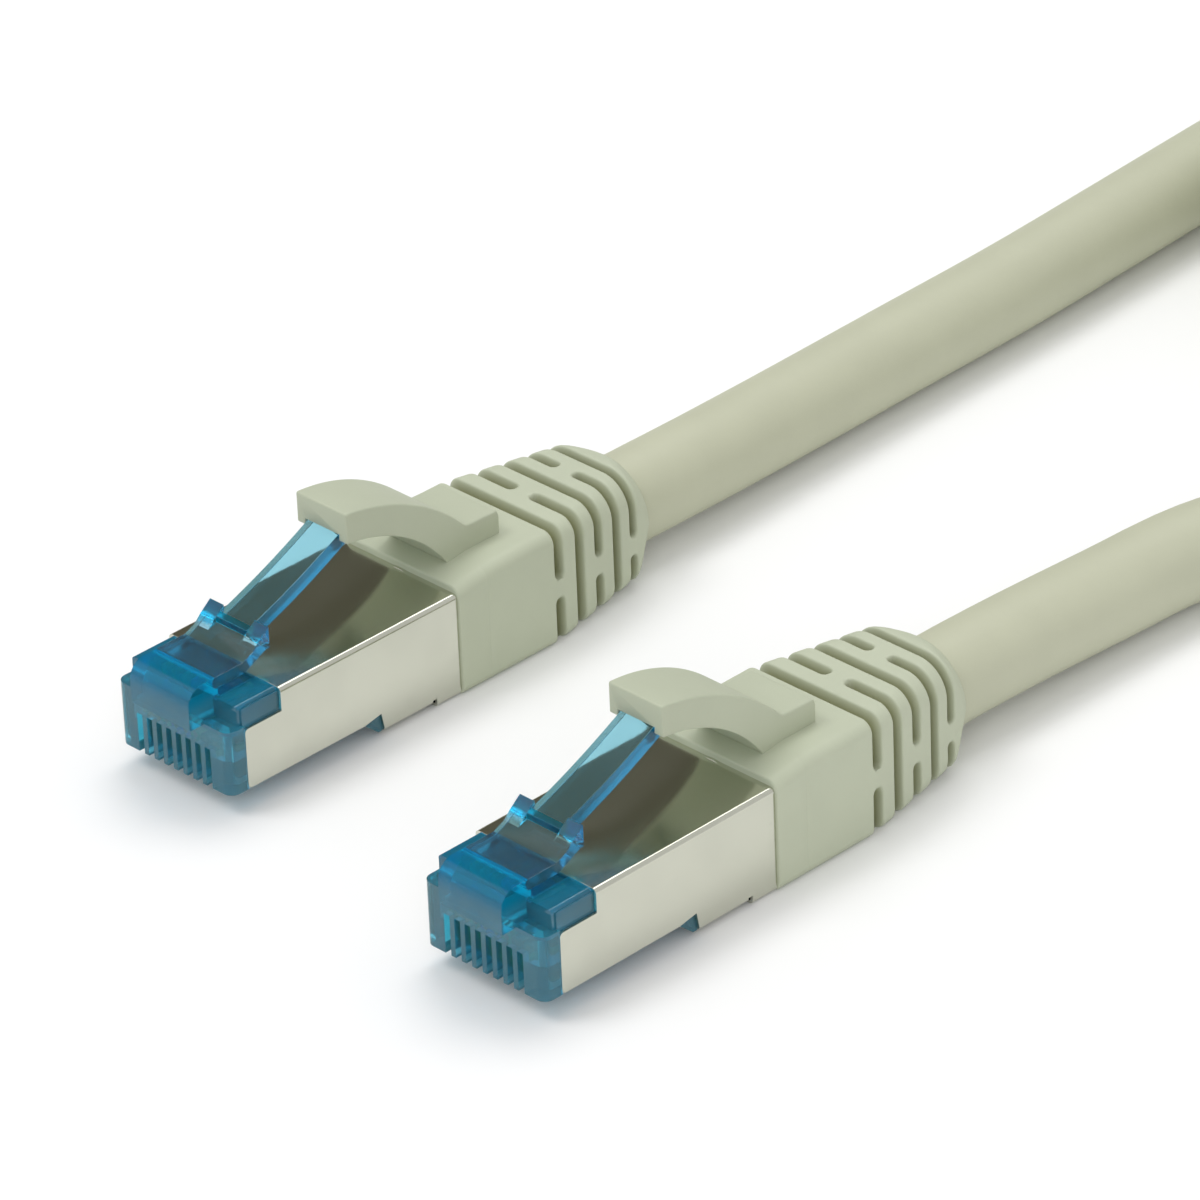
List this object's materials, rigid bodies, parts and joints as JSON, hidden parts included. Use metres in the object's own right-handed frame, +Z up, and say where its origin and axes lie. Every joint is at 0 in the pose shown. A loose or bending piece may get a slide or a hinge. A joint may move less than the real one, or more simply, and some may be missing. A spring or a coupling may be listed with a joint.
{
  "type": "shielded ethernet patch cable",
  "caption": "Shielded network patch cable with identical modular plugs at both ends, snag-free moulded boots with ribbed strain relief, and a round cable wound in a tied coil.",
  "frame": {"origin": "on the bench, at the middle of the box round the two plugs and their boots", "axes": "+X from the plug noses back towards the cable, +Y from the second plug to the first, +Z up"},
  "size_m": [0.1903, 0.0904, 0.017],
  "materials": {
    "blue_polycarbonate": "clear moulded, tinted blue",
    "clear_polycarbonate": "clear moulded",
    "gold_plate": "gold plated, satin",
    "nickel_shell": "nickel plated sheet, satin",
    "orange_insulation": "satin extruded",
    "green_insulation": "satin extruded",
    "blue_insulation": "satin extruded",
    "brown_insulation": "satin extruded",
    "copper": "bare copper",
    "foil": "bright foil",
    "tinned_braid": "tinned wire braid",
    "cable_jacket": "satin extruded",
    "boot_plastic": "soft moulded, matt",
    "hook_loop": "woven hook and loop"
  },
  "bodies": {
    "cable_assembly": {"housing_a": "blue_polycarbonate", "contacts_a": "gold_plate", "load_bar_a": "clear_polycarbonate", "shell_a": "nickel_shell", "wires_orange_a": "orange_insulation", "wires_green_a": "green_insulation", "wires_blue_a": "blue_insulation", "wires_brown_a": "brown_insulation", "conductors_a": "copper", "pair_foils_a": "foil", "braid_a": "tinned_braid", "jacket_a": "cable_jacket", "boot_a": "boot_plastic", "housing_b": "blue_polycarbonate", "contacts_b": "gold_plate", "load_bar_b": "clear_polycarbonate", "shell_b": "nickel_shell", "wires_orange_b": "orange_insulation", "wires_green_b": "green_insulation", "wires_blue_b": "blue_insulation", "wires_brown_b": "brown_insulation", "conductors_b": "copper", "pair_foils_b": "foil", "braid_b": "tinned_braid", "jacket_b": "cable_jacket", "boot_b": "boot_plastic", "cable_lead_a": "cable_jacket", "cable_coil": "cable_jacket", "cable_lead_b": "cable_jacket", "coil_tie": "hook_loop"},
    "hood_a": {"hood_a": "boot_plastic"},
    "latch_a": {"latch_a": "blue_polycarbonate"},
    "hood_b": {"hood_b": "boot_plastic"},
    "latch_b": {"latch_b": "blue_polycarbonate"}
  },
  "joints": [
    {"name": "hood_a_press", "type": "hinge", "parent": "cable_assembly", "child": "hood_a", "pos_m": [0.00498, 0.0177, 0.0105], "axis": [0, -1, 0], "range_deg": [0, 16.2], "stiffness_Nm_per_rad": 0.28},
    {"name": "latch_a_flex", "type": "hinge", "parent": "cable_assembly", "child": "latch_a", "pos_m": [-0.01847, 0.0177, 0.00935], "axis": [0, 1, 0], "range_deg": [0, 12.05]},
    {"name": "hood_b_press", "type": "hinge", "parent": "cable_assembly", "child": "hood_b", "pos_m": [0.00108, -0.0177, 0.0105], "axis": [0, -1, 0], "range_deg": [0, 16.2], "stiffness_Nm_per_rad": 0.28},
    {"name": "latch_b_flex", "type": "hinge", "parent": "cable_assembly", "child": "latch_b", "pos_m": [-0.02237, -0.0177, 0.00935], "axis": [0, 1, 0], "range_deg": [0, 12.05]}
  ],
  "couplings": [
    {"joint": "latch_a_flex", "follows": "hood_a_press", "ratio": 0.74},
    {"joint": "latch_b_flex", "follows": "hood_b_press", "ratio": 0.74}
  ]
}
